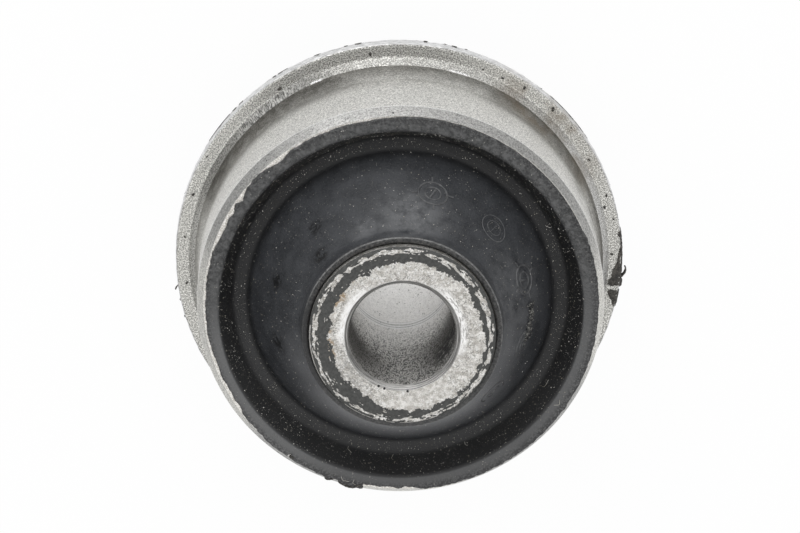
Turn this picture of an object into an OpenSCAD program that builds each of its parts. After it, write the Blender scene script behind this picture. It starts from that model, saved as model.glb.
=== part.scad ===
// Control arm bushing: a flanged steel sleeve and a thick bolt sleeve, bonded by one rubber body.
// It stands on the rear end of the bolt sleeve, with its axis on Z and its front end up.
// Each piece is one profile, drawn in radius and height, turned about the axis.

/* [Inner sleeve] */
// Diameter of the bolt hole
bore_d = 14.2; // [12:0.1:16]
// Wall between the bolt hole and the bonded outside
inner_wall = 5.3; // [4:0.1:6.5]
// Length over both clamped ends
inner_l = 46; // [44:0.5:58]
// Width of the chamfer at each end of the bolt hole
bore_chamfer_w = 0.6; // [0.3:0.1:1]
// Length of the chamfer at each end of the bolt hole
bore_chamfer_l = 0.8; // [0.3:0.1:1.2]
// Rounding of the outer edge at each end
inner_edge_r = 0.3; // [0.1:0.05:0.6]

/* [Outer sleeve] */
// Outside diameter of the wall that presses into the arm
sleeve_d = 55.3; // [52:0.1:62]
// Thickness of the wall
sleeve_wall = 2.4; // [1.8:0.1:3]
// Length from the back of the flange to the front end
sleeve_l = 22.1; // [19:0.1:25]
// Depth of the lead-in chamfer at the front end
lead_depth = 0.9; // [0.4:0.1:1.2]
// Length of the lead-in chamfer along the axis
lead_l = 1.5; // [0.8:0.1:3]
// Rounding inside, where the wall turns out into the flange
bend_r = 2; // [0.5:0.1:3]

/* [Flange] */
// Height of the flange's back above the rear end of the bolt sleeve
flange_z = 11.3; // [9:0.1:14]
// How far the flange stands out from the wall
flange_w = 3.45; // [3:0.05:8]
// Thickness of the flange
flange_t = 2.4; // [1.6:0.1:4]
// Rounding of the flange's outer edges
flange_edge_r = 0.4; // [0.1:0.05:0.7]
// How far the tapered foot reaches from the wall at the flange
foot_w = 1.65; // [1.3:0.05:2.2]
// How far the ridge on top of the foot stands out from the wall
ridge_w = 0.75; // [0.4:0.05:1]
// Height of the foot
foot_h = 1.2; // [0.6:0.1:2]
// Rounding in the corner between the flange and the foot
foot_r = 0.25; // [0.1:0.05:0.4]
// Length of the taper that runs from the ridge out into the wall
taper_l = 4; // [1:0.1:6]

/* [Rubber front] */
// Thickness of the skin over the sleeve's front end
skin_t = 0.4; // [0.2:0.05:1]
// Bare steel left between the skin and the lead-in chamfer
bare_land = 0.25; // [0.1:0.05:0.4]
// Thickness of the lining inside the sleeve
lining_t = 0.58; // [0.4:0.02:1.2]
// Depth of the groove below the skin
groove_depth = 3.9; // [2.5:0.1:5]
// How far the groove's wall slopes inwards
groove_run = 1.8; // [0.8:0.1:2.4]
// Width of the groove's floor
floor_w = 2; // [1.6:0.1:2.6]
// How far the floor falls towards the cone
floor_fall = 0.3; // [0:0.05:0.6]

/* [Rubber collars] */
// Thickness of the collar where the cone meets it
collar_t = 1.2; // [1:0.05:1.8]
// Length of the collar along the bolt sleeve
collar_h = 2.3; // [1.8:0.1:4]
// Thickness of the collar at its lip
lip_t = 0.95; // [0.8:0.05:1]
// Width of the lip's crest
lip_crest_w = 0.65; // [0.5:0.05:0.75]
// How far the lip stays short of the bolt sleeve's end
lip_short = 1.1; // [0.8:0.1:2]
// How far the rubber dips between the lip and the bolt sleeve
lip_dip = 0.5; // [0.3:0.1:1.2]

/* [Rubber rear] */
// Thickness of the thrust pad behind the flange
pad_t = 6.5; // [4.5:0.1:8]
// How far the pad stays inside the flange's edge
pad_inset = 1.4; // [0.6:0.1:2]
// Width of the pad from its outside to its inner edge
pad_w = 7.2; // [6:0.1:8]
// Radius of the pad's outer shoulder
shoulder_r = 3.5; // [1.5:0.1:4]
// Depth of the groove inside the pad
rear_depth = 3.8; // [2.5:0.1:4.5]
// How far the rear groove's wall slopes inwards
rear_run = 1.6; // [0.8:0.1:2.4]
// Width of the rear groove's floor
rear_floor_w = 2; // [1.6:0.1:2.6]

/* [Rubber roundings] */
// Rounding of the skin's outer edge
skin_edge_r = 0.2; // [0.1:0.02:0.2]
// Rounding of the edges where the grooves open
mouth_r = 0.6; // [0.3:0.05:0.8]
// Rounding at the foot of each groove wall
floor_r = 0.8; // [0.3:0.05:0.9]
// Rounding between each groove's floor and the cone
crease_r = 0.8; // [0.3:0.05:0.9]
// Rounding between each cone and its collar
collar_r = 1.5; // [0.5:0.1:2]
// Rounding of the lips
lip_r = 0.2; // [0.1:0.02:0.24]

/* [Hidden] */
$fn = 180;

bore_r = bore_d / 2;
inner_r = bore_r + inner_wall;

wall_r = sleeve_d / 2;
sleeve_ir = wall_r - sleeve_wall;
flange_r = wall_r + flange_w;
flange_front = flange_z + flange_t;
foot_top = flange_front + foot_h;
taper_top = foot_top + taper_l;
front_end = flange_z + sleeve_l;
lead_r = wall_r - lead_depth;

rim_z = front_end + skin_t;
groove_z = rim_z - groove_depth;
groove_r = sleeve_ir - lining_t;
floor_out_r = groove_r - groove_run;

pad_r = flange_r - pad_inset;
pad_z = flange_z - pad_t;
rear_groove_z = pad_z + rear_depth;
pad_in_r = pad_r - pad_w;
rear_floor_out_r = pad_in_r - rear_run;

lip_z = inner_l - lip_short;
lip_r_out = inner_r + lip_t;
lip_r_in = lip_r_out - lip_crest_w;
collar_base_r = inner_r + collar_t;

// A rounding's patch reaches this share of its radius past the corner, to cut or fill it cleanly
patch_reach = 0.25;
// Its arc is drawn this much larger, so that it crosses the legs and doesn't only touch them
arc_over = 0.0003;

function unit(v) = v / norm(v);
function point(corner) = [corner[0], corner[1]];
function turn(p, q, s) = cross(q - p, s - q);

// The area between the corner q and an arc of radius r that touches the legs to p and s
module corner_patch(p, q, s, r) {
    u = unit(p - q);
    v = unit(s - q);
    middle = unit(u + v);
    half = acos(u * v) / 2;
    reach = r / tan(half);
    centre = q + middle * r / sin(half);
    difference() {
        polygon([q + u * reach, centre, q + v * reach, q - middle * r * patch_reach]);
        translate(centre)
            circle(r + arc_over);
    }
}

// The patches of all corners that turn to one side: 1 for outer corners, -1 for inner ones
module corner_patches(corners, side) {
    n = len(corners);
    for (i = [0 : n - 1]) {
        p = point(corners[(i + n - 1) % n]);
        q = point(corners[i]);
        s = point(corners[(i + 1) % n]);
        if (corners[i][2] > 0 && side * turn(p, q, s) > 0)
            corner_patch(p, q, s, corners[i][2]);
    }
}

// A closed outline of corners [radius, height, rounding], listed counter-clockwise
module rounded_profile(corners) {
    difference() {
        union() {
            polygon([for (corner = corners) point(corner)]);
            corner_patches(corners, -1);
        }
        corner_patches(corners, 1);
    }
}

module outer_sleeve() {
    color([0.72, 0.71, 0.68])
        rotate_extrude()
            rounded_profile([
                [sleeve_ir, flange_z, bend_r],
                [flange_r, flange_z, flange_edge_r],
                [flange_r, flange_front, flange_edge_r],
                [wall_r + foot_w, flange_front, foot_r],
                [wall_r + ridge_w, foot_top, 0],
                [wall_r, taper_top, 0],
                [wall_r, front_end - lead_l, 0],
                [lead_r, front_end, 0],
                [sleeve_ir, front_end, 0],
            ]);
}

module rubber_body() {
    color([0.16, 0.17, 0.18])
        rotate_extrude()
            rounded_profile([
                [inner_r, lip_short + lip_dip, 0],
                [lip_r_in, lip_short, lip_r],
                [lip_r_out, lip_short, lip_r],
                [collar_base_r, lip_short + collar_h, collar_r],
                [rear_floor_out_r - rear_floor_w, rear_groove_z, crease_r],
                [rear_floor_out_r, rear_groove_z, floor_r],
                [pad_in_r, pad_z, mouth_r],
                [pad_r, pad_z, shoulder_r],
                [pad_r, flange_z, 0],
                [sleeve_ir, flange_z, bend_r],
                [sleeve_ir, front_end, 0],
                [lead_r - bare_land, front_end, 0],
                [lead_r - bare_land, rim_z, skin_edge_r],
                [groove_r, rim_z, mouth_r],
                [floor_out_r, groove_z, floor_r],
                [floor_out_r - floor_w, groove_z - floor_fall, crease_r],
                [collar_base_r, lip_z - collar_h, collar_r],
                [lip_r_out, lip_z, lip_r],
                [lip_r_in, lip_z, lip_r],
                [inner_r, lip_z - lip_dip, 0],
            ]);
}

module inner_sleeve() {
    color([0.76, 0.73, 0.68])
        rotate_extrude()
            rounded_profile([
                [bore_r + bore_chamfer_w, 0, 0],
                [inner_r, 0, inner_edge_r],
                [inner_r, inner_l, inner_edge_r],
                [bore_r + bore_chamfer_w, inner_l, 0],
                [bore_r, inner_l - bore_chamfer_l, 0],
                [bore_r, bore_chamfer_l, 0],
            ]);
}

outer_sleeve();
rubber_body();
inner_sleeve();
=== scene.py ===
"""Control arm bushing: a flanged steel sleeve and a bolt sleeve, bonded by one rubber body.

The pieces are modelled in millimetres, standing on the floor with the axis on Z and the coned end up.
At the end they are brought to metres. Places are given as a turn about the axis in degrees, a radius and a height.
"""

import math
import random

import bpy
from mathutils import Matrix, Vector, noise


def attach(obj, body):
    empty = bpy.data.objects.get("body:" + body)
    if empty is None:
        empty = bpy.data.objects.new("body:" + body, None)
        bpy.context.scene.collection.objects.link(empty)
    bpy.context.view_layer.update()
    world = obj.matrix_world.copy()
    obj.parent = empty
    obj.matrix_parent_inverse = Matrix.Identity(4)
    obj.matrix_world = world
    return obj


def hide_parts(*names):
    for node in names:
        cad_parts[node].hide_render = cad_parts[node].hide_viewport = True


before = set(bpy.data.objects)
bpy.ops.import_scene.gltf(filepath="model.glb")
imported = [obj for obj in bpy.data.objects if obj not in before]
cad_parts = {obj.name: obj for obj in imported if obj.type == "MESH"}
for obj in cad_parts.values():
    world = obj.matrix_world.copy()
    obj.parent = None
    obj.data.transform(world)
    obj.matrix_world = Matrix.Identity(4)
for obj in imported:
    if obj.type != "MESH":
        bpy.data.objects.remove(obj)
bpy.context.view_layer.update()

MM = 0.001
# Longer than any edge of an outline, so that none is cut
UNCUT = 99.0
# Points nearer to each other than this, in mm, are one point
WELD = 0.0005
# How far a point may be from the corner that it is looked for at, in mm
AT_CORNER = 0.001
# The turn of one step on a rounded corner, in degrees
ROUND_STEP = 16

# ---------------------------------------------------------------- the turned outlines, as in the part's source

LENGTH = 46.0
BORE_R = 7.1
CHAMFER_R = 7.7
INNER_R = 12.4
WALL_R = 27.65
SLEEVE_R = 25.25
FLANGE_R = 31.1
FLANGE_BACK = 11.3
FLANGE_FRONT = 13.7
FRONT_END = 33.4
SKIN_R = 26.5
RIM_Z = 33.8
RIM_IN_R = 24.67
LIP_IN_R = 12.7
LIP_OUT_R = 13.35
LIP_Z = 44.9
PAD_R = 29.7
PAD_BACK = 4.8
REAR_GROOVE_Z = 8.6
REAR_LIP_Z = 1.1
# radius, height
GROOVE_FLOOR = (22.87, 29.9)
CREASE = (20.87, 29.6)
COLLAR_BASE = (13.6, 42.6)

# corner: radius, height, rounding
FLANGED_SLEEVE = [
    (SLEEVE_R, FLANGE_BACK, 2),
    (FLANGE_R, FLANGE_BACK, 0.4),
    (FLANGE_R, FLANGE_FRONT, 0.4),
    (29.3, FLANGE_FRONT, 0.25),
    (28.4, 14.9, 0.06),
    (WALL_R, 18.9, 0.5),
    (WALL_R, 31.9, 0.06),
    (26.75, FRONT_END, 0.06),
    (SLEEVE_R, FRONT_END, 0),
]
BONDED_RUBBER = [
    (INNER_R, 1.6, 0),
    (LIP_IN_R, REAR_LIP_Z, 0.2),
    (LIP_OUT_R, REAR_LIP_Z, 0.2),
    (13.6, 3.4, 1.5),
    (18.9, REAR_GROOVE_Z, 0.8),
    (20.9, REAR_GROOVE_Z, 0.8),
    (22.5, PAD_BACK, 0.6),
    (PAD_R, PAD_BACK, 3.5),
    (PAD_R, FLANGE_BACK, 0),
    (SLEEVE_R, FLANGE_BACK, 2),
    (SLEEVE_R, FRONT_END, 0),
    (SKIN_R, FRONT_END, 0),
    (SKIN_R, RIM_Z, 0.2),
    (RIM_IN_R, RIM_Z, 0.6),
    (*GROOVE_FLOOR, 0.8),
    (*CREASE, 0.8),
    (*COLLAR_BASE, 1.5),
    (LIP_OUT_R, LIP_Z, 0.2),
    (LIP_IN_R, LIP_Z, 0.2),
    (INNER_R, 44.4, 0),
]
BOLT_SLEEVE = [
    (CHAMFER_R, 0, 0.06),
    (INNER_R, 0, 0.3),
    (INNER_R, LENGTH, 0.3),
    (CHAMFER_R, LENGTH, 0.08),
    (7.42, 45.66, 0.03),
    (7.34, 45.62, 0.03),
    (BORE_R, 45.2, 0.05),
    (BORE_R, 0.8, 0),
]


# ---------------------------------------------------------------- modelling by hand, in a few plain moves


def named(name):
    """The piece that was just made, under its name."""
    piece = bpy.context.object
    piece.name = piece.data.name = name
    return piece


def edit_all():
    """Opens the piece that was just made, with all of it selected."""
    bpy.ops.object.mode_set(mode="EDIT")
    bpy.ops.mesh.select_all(action="SELECT")


def pick_points(piece, chosen):
    """Selects only the points of the piece, now in edit mode, for which chosen(place) is true."""
    bpy.ops.object.mode_set(mode="OBJECT")
    mesh = piece.data
    for part in (mesh.polygons, mesh.edges):
        part.foreach_set("select", [False] * len(part))
    mesh.vertices.foreach_set("select", [chosen(v.co) for v in mesh.vertices])
    bpy.ops.object.mode_set(mode="EDIT")


def pick_edges(piece, chosen):
    """Selects only the edges, now in edit mode, for which chosen(end, other end) is true, and counts them."""
    bpy.ops.object.mode_set(mode="OBJECT")
    mesh = piece.data
    places = [v.co for v in mesh.vertices]
    picked = [chosen(places[e.vertices[0]], places[e.vertices[1]]) for e in mesh.edges]
    mesh.vertices.foreach_set("select", [False] * len(mesh.vertices))
    mesh.edges.foreach_set("select", picked)
    bpy.ops.object.mode_set(mode="EDIT")
    bpy.ops.mesh.select_mode(type="EDGE")
    return sum(picked)


def draw_outline(name, corners):
    """Draws a closed wire through the corners, on the plane of X and Z, and rounds its corners."""
    bpy.ops.mesh.primitive_plane_add(size=1)
    wire = named(name)
    bpy.ops.object.mode_set(mode="EDIT")
    bpy.ops.mesh.select_mode(type="VERT")
    bpy.ops.mesh.select_all(action="SELECT")
    bpy.ops.mesh.merge(type="CENTER")
    bpy.ops.transform.translate(value=(corners[0][0], 0, corners[0][1]))
    for here, there in zip(corners, corners[1:]):
        step = (there[0] - here[0], 0, there[1] - here[1])
        bpy.ops.mesh.extrude_vertices_move(TRANSFORM_OT_translate={"value": step})
    ends = [Vector((c[0], 0, c[1])) for c in (corners[0], corners[-1])]
    pick_points(wire, lambda p: min((p - end).length for end in ends) < AT_CORNER)
    bpy.ops.mesh.edge_face_add()
    for i, (radius, height, rounding) in enumerate(corners):
        if not rounding:
            continue
        corner = Vector((radius, 0, height))
        legs = [Vector((c[0], 0, c[1])) - corner for c in (corners[i - 1], corners[(i + 1) % len(corners)])]
        opening = legs[0].angle(legs[1])
        reach = rounding / math.tan(opening / 2)
        steps = max(2, round((math.pi - opening) / math.radians(ROUND_STEP)))
        pick_points(wire, lambda p: (p - corner).length < AT_CORNER)
        bpy.ops.mesh.bevel(offset_type="ABSOLUTE", offset=reach, segments=steps, affect="VERTICES")
    return wire


def modify(piece, name, kind, **settings):
    """Adds a modifier with those settings to a piece and applies it."""
    modifier = piece.modifiers.new(name, kind)
    for key, value in settings.items():
        setattr(modifier, key, value)
    bpy.ops.object.select_all(action="DESELECT")
    piece.select_set(True)
    bpy.context.view_layer.objects.active = piece
    bpy.ops.object.modifier_apply(modifier=modifier.name)


def turned(name, corners, steps, longest):
    """Turns an outline into a round piece. Its edges are first cut no longer than longest(place) allows."""
    wire = draw_outline(name, corners)
    while pick_edges(wire, lambda a, b: (a - b).length > longest((a + b) / 2)):
        bpy.ops.mesh.subdivide(number_cuts=1)
    bpy.ops.object.mode_set(mode="OBJECT")
    modify(
        wire, "lathe", "SCREW", axis="Z", angle=math.tau, steps=steps, render_steps=steps,
        use_merge_vertices=True, merge_threshold=WELD,
    )
    edit_all()
    bpy.ops.mesh.remove_doubles(threshold=WELD)
    bpy.ops.mesh.normals_make_consistent(inside=False)
    bpy.ops.object.mode_set(mode="OBJECT")
    bpy.ops.object.shade_smooth_by_angle(angle=math.radians(38))
    return wire


def weigh(piece, group, weight):
    """Makes a group of the points of a piece, each with weight(place) from 0 to 1."""
    points = piece.vertex_groups.new(name=group)
    for v in piece.data.vertices:
        share = weight(v.co)
        if share > 0:
            points.add([v.index], min(1, share), "REPLACE")


def roughen(piece, name, size, depth, group=""):
    """Moves the surface in and out by lumps of that size, half of depth to each side."""
    lumps = bpy.data.textures.new(name, "CLOUDS")
    lumps.noise_scale = size
    lumps.noise_depth = 2
    modify(
        piece, name, "DISPLACE", texture=lumps, texture_coords="LOCAL", strength=depth, mid_level=0.5,
        vertex_group=group,
    )


def place(turn, radius, height):
    """A place in millimetres, from degrees about the axis, a radius and a height."""
    a = math.radians(turn)
    return Vector((radius * math.cos(a), radius * math.sin(a), height))


def turn_of(p):
    return math.degrees(math.atan2(p[1], p[0]))


def smooth(low, high, value):
    """0 below low, 1 above high and an even curve between them."""
    t = min(1, max(0, (value - low) / (high - low)))
    return t * t * (3 - 2 * t)


def between(pairs, x):
    """The value at x on straight lines through (x, value) pairs, which rise in x."""
    if x <= pairs[0][0]:
        return pairs[0][1]
    for (x0, v0), (x1, v1) in zip(pairs, pairs[1:]):
        if x <= x1:
            return v0 + (v1 - v0) * (x - x0) / (x1 - x0)
    return pairs[-1][1]


def lumpy(p, size, seed=0):
    """Even noise from about -1 to 1, with lumps of that size."""
    return noise.noise(Vector(p) / size + Vector((seed * 7.31, seed * 3.17, seed * 5.73)))


class Path:
    """A line of (radius, height) corners, followed by its length in mm. Its outside is on the left."""

    def __init__(self, corners):
        self.corners = [Vector(c) for c in corners]
        self.cuts = [0]
        for a, b in zip(self.corners, self.corners[1:]):
            self.cuts.append(self.cuts[-1] + (b - a).length)
        self.length = self.cuts[-1]

    def at(self, s):
        """The place at length s and the outward direction there, both as (radius, height)."""
        i = 0
        while i < len(self.corners) - 2 and s > self.cuts[i + 1]:
            i += 1
        along = (self.corners[i + 1] - self.corners[i]).normalized()
        return self.corners[i] + along * (s - self.cuts[i]), Vector((-along.y, along.x))


def on_path(path, turn, s, lift):
    """The place at a turn about the axis, a length along the path and a height above its surface."""
    (radius, height), out = path.at(s)
    return place(turn, radius + out.x * lift, height + out.y * lift)


def sheet(name, path, turn_from, turn_to, cells, keep, lift=0.0):
    """A thin sheet that lies on a path turned about the axis, from the higher turn to the lower one.

    cells gives its cells around and along. Only the cells for which keep(turn, length) is true stay.
    """
    bpy.ops.mesh.primitive_grid_add(x_subdivisions=cells[0], y_subdivisions=cells[1], size=1)
    piece = named(name)
    mesh = piece.data
    around = turn_to - turn_from
    flat = [(turn_from + (v.co.x + 0.5) * around, (v.co.y + 0.5) * path.length) for v in mesh.vertices]
    for v, (turn, s) in zip(mesh.vertices, flat):
        v.co = on_path(path, turn, s, lift)
    dropped = []
    for face in mesh.polygons:
        spots = [flat[i] for i in face.vertices]
        middle = [sum(spot[k] for spot in spots) / len(spots) for k in (0, 1)]
        dropped.append(not keep(*middle))
    bpy.ops.object.mode_set(mode="EDIT")
    bpy.ops.mesh.select_mode(type="FACE")
    bpy.ops.mesh.select_all(action="DESELECT")
    bpy.ops.object.mode_set(mode="OBJECT")
    mesh.polygons.foreach_set("select", dropped)
    bpy.ops.object.mode_set(mode="EDIT")
    bpy.ops.mesh.delete(type="FACE")
    bpy.ops.mesh.select_all(action="SELECT")
    bpy.ops.mesh.remove_doubles(threshold=0.002)
    bpy.ops.mesh.select_mode(type="VERT")
    bpy.ops.mesh.select_all(action="DESELECT")
    bpy.ops.mesh.select_non_manifold(use_wire=False, use_multi_face=False, use_non_contiguous=False, use_verts=False)
    bpy.ops.mesh.vertices_smooth(factor=0.5, repeat=2)
    bpy.ops.object.mode_set(mode="OBJECT")
    return piece


def thicken(piece, thickness, offset=1):
    """Gives a sheet its thickness, on its outer side or, with an offset of 0, half on each side."""
    modify(piece, "thickness", "SOLIDIFY", thickness=thickness, offset=offset)


def join(name, pieces):
    bpy.ops.object.select_all(action="DESELECT")
    for piece in pieces:
        piece.select_set(True)
    bpy.context.view_layer.objects.active = pieces[0]
    bpy.ops.object.join()
    return named(name)


def copies(name, model, spots):
    """Copies of a small model, one at each matrix, as one piece. The model itself goes."""
    made = []
    for spot in spots:
        one = model.copy()
        one.data = model.data.copy()
        one.data.transform(spot)
        bpy.context.scene.collection.objects.link(one)
        made.append(one)
    bpy.data.objects.remove(model)
    return join(name, made)


# ---------------------------------------------------------------- the flanged sleeve


def sleeve_cut(p):
    """The longest edge of the outline here: long on the wall, short on the flange and at the front end."""
    if p.x < SLEEVE_R + 0.05:
        return UNCUT
    return 1.2 if 15.5 < p.z < 31.8 else 0.45


flanged_sleeve = turned("flanged_sleeve", FLANGED_SLEEVE, 720, sleeve_cut)
roughen(flanged_sleeve, "press_waves", 3.0, 0.03)
weigh(flanged_sleeve, "flange_rim", lambda p: smooth(30.3, 31.0, math.hypot(p.x, p.y)) * 0.9)
roughen(flanged_sleeve, "flange_nicks", 0.9, 0.16, "flange_rim")
weigh(flanged_sleeve, "front_rim", lambda p: smooth(33.0, 33.3, p.z) * smooth(26.2, 26.5, math.hypot(p.x, p.y)))
roughen(flanged_sleeve, "front_rim_nicks", 0.7, 0.14, "front_rim")

# ---------------------------------------------------------------- the rubber body, with its torn skin on the front end

# How far the skin reaches out over the sleeve's front end: turn, radius
SKIN_EDGE = [
    (-180, 26.5), (-170, 26.45), (-163, 26.25), (-160, 26.4), (-156, 26.2), (-152, 26.4), (-149, 26.25),
    (-146.5, 26.7), (-140, 26.6), (-136, 26.8), (-128.2, 26.75), (-127.6, 25.8), (-127.2, 26.8),
    (-116, 26.85), (-114.5, 27.1), (-113, 26.75), (-112, 26.7), (-110, 27.05), (-106, 27.15), (-104.1, 27.1),
    (-103.9, 26.45), (-101, 26.42), (-99, 26.55), (-96.5, 26.32), (-94.5, 26.38), (-93.5, 26.65), (-92.5, 26.58),
    (-91, 26.3), (-89, 26.5), (-87, 26.7), (-85.5, 26.85), (-15, 26.88), (-12, 26.8), (18, 26.8), (22, 26.6),
    (88, 26.6), (91, 26.45), (119, 26.45), (121.5, 26.4), (124, 26.1), (127, 26.0), (130, 26.35), (133, 26.6),
    (138, 26.6), (140, 26.35), (142.5, 26.0), (144.5, 26.6), (147, 26.0), (149.5, 26.3), (152, 26.0), (155, 26.2),
    (158, 26.3), (160, 26.5), (180, 26.5),
]


def skin_edge(turn):
    """The skin's torn edge: the read radius with fine teeth on it."""
    p = place(turn, SKIN_R, 0)
    teeth = 0.1 * lumpy(p, 1.1, 1) + 0.11 * lumpy(p, 0.45, 2) + 0.06 * lumpy(p, 0.25, 8)
    quiet = smooth(92, 84, turn) * smooth(20, 28, turn)
    return between(SKIN_EDGE, turn) + teeth * (1 - 0.8 * quiet)


def tear_skin(rubber):
    """Moves the skin's edge in or out to its torn line, and less the further it is inside."""
    for v in rubber.data.vertices:
        radius = math.hypot(v.co.x, v.co.y)
        if radius < 25.5 or v.co.z < FRONT_END - 0.01:
            continue
        turn = turn_of(v.co)
        pull = smooth(25.4, 26.3, radius)
        new = radius + (skin_edge(turn) - SKIN_R) * pull
        v.co.x *= new / radius
        v.co.y *= new / radius
        v.co.z -= 0.5 * max(0, new - 26.95)


def rubber_cut(p):
    """The longest edge of the outline here: short on the torn rim, long where it is bonded to steel."""
    in_sleeve = abs(p.x - SLEEVE_R) < 0.05 and p.z > FLANGE_BACK - 0.01
    if in_sleeve or p.x < INNER_R + 0.01:
        return UNCUT
    if p.z > 33 and p.x > 25.3:
        return 0.36
    return 1.3 if p.z > 28 else 2.6


bonded_rubber = turned("bonded_rubber", BONDED_RUBBER, 864, rubber_cut)
weigh(bonded_rubber, "open_rubber", lambda p: 1.0 if p.z > 20 and math.hypot(p.x, p.y) < 25 or p.z < 11 else 0.0)
roughen(bonded_rubber, "moulded_waves", 4.5, 0.06, "open_rubber")
roughen(bonded_rubber, "moulded_skin", 0.8, 0.02, "open_rubber")
tear_skin(bonded_rubber)

# ---------------------------------------------------------------- the bolt sleeve and the film left on its end

bolt_sleeve = turned("bolt_sleeve", BOLT_SLEEVE, 480, lambda p: 0.6 if p.z > 44 else 2.0)
roughen(bolt_sleeve, "turned_waves", 2.0, 0.02)

# Where the film begins, from the bolt hole outwards: turn, radius
FILM_EDGE = [
    (-180, 9.75), (-165, 9.7), (-145, 9.7), (-130, 9.75), (-115, 10.05), (-100, 10.5), (-80, 10.6), (-60, 10.85),
    (-45, 11.2), (-25, 11.1), (-8, 10.95), (5, 10.75), (20, 10.75), (45, 10.45), (60, 10.4), (90, 10.2), (105, 10.0),
    (125, 9.95), (145, 9.85), (165, 9.8), (180, 9.75),
]
FILM_PATH = Path([(9.2, LENGTH), (12.1, LENGTH), (12.31, 45.91), (INNER_R, 45.7)])

# The pale ring flaked out of the film: turn, radius of its middle, share of it that is bare
FLAKED_RING = [
    (-180, 11.75, 0.64), (-150, 11.72, 0.6), (-112, 11.82, 0.56), (-95, 11.88, 0.62), (-70, 11.88, 0.74),
    (-20, 11.85, 0.72), (10, 11.7, 0.8), (45, 11.66, 0.82), (75, 11.85, 0.78), (95, 11.8, 0.76), (115, 11.75, 0.72),
    (145, 11.72, 0.7), (180, 11.75, 0.64),
]


def film_stays(turn, s):
    """Is there film here? It is torn along its inner edge and flaked off in a broken ring near its outer edge."""
    radius = FILM_PATH.corners[0].x + s
    p = place(turn, radius, 0)
    fine = 0.5 * lumpy(p, 0.3, 4) + 0.5 * lumpy(p, 0.16, 9)
    lobes = 0.6 * lumpy(p, 1.25, 3) + 0.24 * lumpy(p, 0.5, 11)
    if radius < between(FILM_EDGE, turn) + lobes + 0.36 * fine:
        return False
    middle = between([(t, r) for t, r, _ in FLAKED_RING], turn)
    share = between([(t, bare) for t, _, bare in FLAKED_RING], turn)
    shards = noise.noise(Vector((p.x / 1.1, p.y / 1.1, radius / 0.28)))
    shards += 0.5 * noise.noise(Vector((p.x / 0.42 + 9, p.y / 0.42, radius / 0.13)))
    if shards - 0.9 * ((radius - middle) / 0.5) ** 2 > 0.46 - 0.9 * share:
        return False
    if radius > 12.24 and (turn > 170 or turn < -70) and lumpy(p, 1.6, 10) > -0.25:
        return False
    along_ring = Vector((p.x / 0.5, p.y / 0.5, radius / 0.16))
    flakes = 0.75 * noise.noise(along_ring) + 0.45 * lumpy(p, 1.1, 7) + 0.35 * fine
    return flakes < 0.52


film = sheet("bolt_sleeve_film", FILM_PATH, 180, -180, (1080, 44), film_stays)
thicken(film, 0.05)
roughen(film, "film_waves", 0.4, 0.03)

# ---------------------------------------------------------------- mould marks on the cone

CONE = Path([COLLAR_BASE, CREASE])


def lay_on(piece, path, turn, s):
    """Lays a flat model on a turned path: its X goes round, its Y along the path and its Z outwards."""
    for v in piece.data.vertices:
        (radius, _), _ = path.at(s + v.co.y)
        v.co = on_path(path, turn - math.degrees(v.co.x / radius), s + v.co.y, v.co.z)


def mark_ring(radius, line, height, gap_from=0, gap_to=0):
    """A raised ring of a round line, flattened, with a gap where the mould has worn."""
    bpy.ops.mesh.primitive_torus_add(major_radius=radius, minor_radius=line, major_segments=72, minor_segments=10)
    ring = named("ring")
    edit_all()
    bpy.ops.transform.resize(value=(1, 1, height / line))
    if gap_to > gap_from:
        pick_points(ring, lambda p: gap_from < turn_of(p) < gap_to)
        bpy.ops.mesh.delete(type="VERT")
        bpy.ops.mesh.select_all(action="SELECT")
        bpy.ops.mesh.select_non_manifold()
        bpy.ops.mesh.edge_face_add()
    bpy.ops.object.mode_set(mode="OBJECT")
    return ring


def mark_bar(length, line, height, middle, turn):
    """A raised bar with rounded edges, flat on the mark's plane."""
    bpy.ops.mesh.primitive_cube_add(size=1)
    bar = named("bar")
    edit_all()
    bpy.ops.transform.resize(value=(length, line * 2, height * 2))
    bpy.ops.mesh.bevel(offset=line * 0.55, segments=3, affect="EDGES")
    bpy.ops.object.mode_set(mode="OBJECT")
    bar.data.transform(Matrix.Translation(Vector((*middle, 0))) @ Matrix.Rotation(math.radians(turn), 4, "Z"))
    return bar


def mould_mark(turn, s, lean, raised, ticks=True, line=1.0):
    """A ring with four ticks around it, and a plain insert with a slot inside it."""
    bits = [mark_ring(1.98, 0.14 * line, raised)]
    if ticks:
        for quarter in range(4):
            a = lean + 90 * quarter
            spot = (2.5 * math.cos(math.radians(a)), 2.5 * math.sin(math.radians(a)))
            bits.append(mark_bar(0.8, 0.13, raised * 0.9, spot, a))
    bits.append(mark_ring(1.1, 0.11 * line, raised * 0.7))
    bits.append(mark_bar(1.7, 0.13 * line, raised * 0.7, (0, 0), lean + 60))
    mark = join("mark", bits)
    lay_on(mark, CONE, turn, s)
    return mark


def worn_mark(turn, s):
    """The insert's rings alone, with worn gaps."""
    rings = [mark_ring(0.45, 0.11, 0.1), mark_ring(1.05, 0.12, 0.1, 60, 150), mark_ring(2.0, 0.13, 0.1, 20, 120)]
    mark = join("mark", rings)
    lay_on(mark, CONE, turn, s)
    return mark


mould_marks = join("mould_marks", [
    mould_mark(73.25, CONE.length - 7.5, 8, 0.16),
    mould_mark(41.0, CONE.length - 7.6, 20, 0.05, ticks=False, line=0.5),
    mould_mark(12.75, CONE.length - 7.7, 12, 0.16),
    worn_mark(-18.5, CONE.length - 7.5),
    worn_mark(-44.75, CONE.length - 8.4),
])
bpy.ops.object.shade_smooth()

# ---------------------------------------------------------------- torn rubber: scuffs, smear, flash and tags

rng = random.Random(41)
FULL_TURN = 6.28


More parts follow.
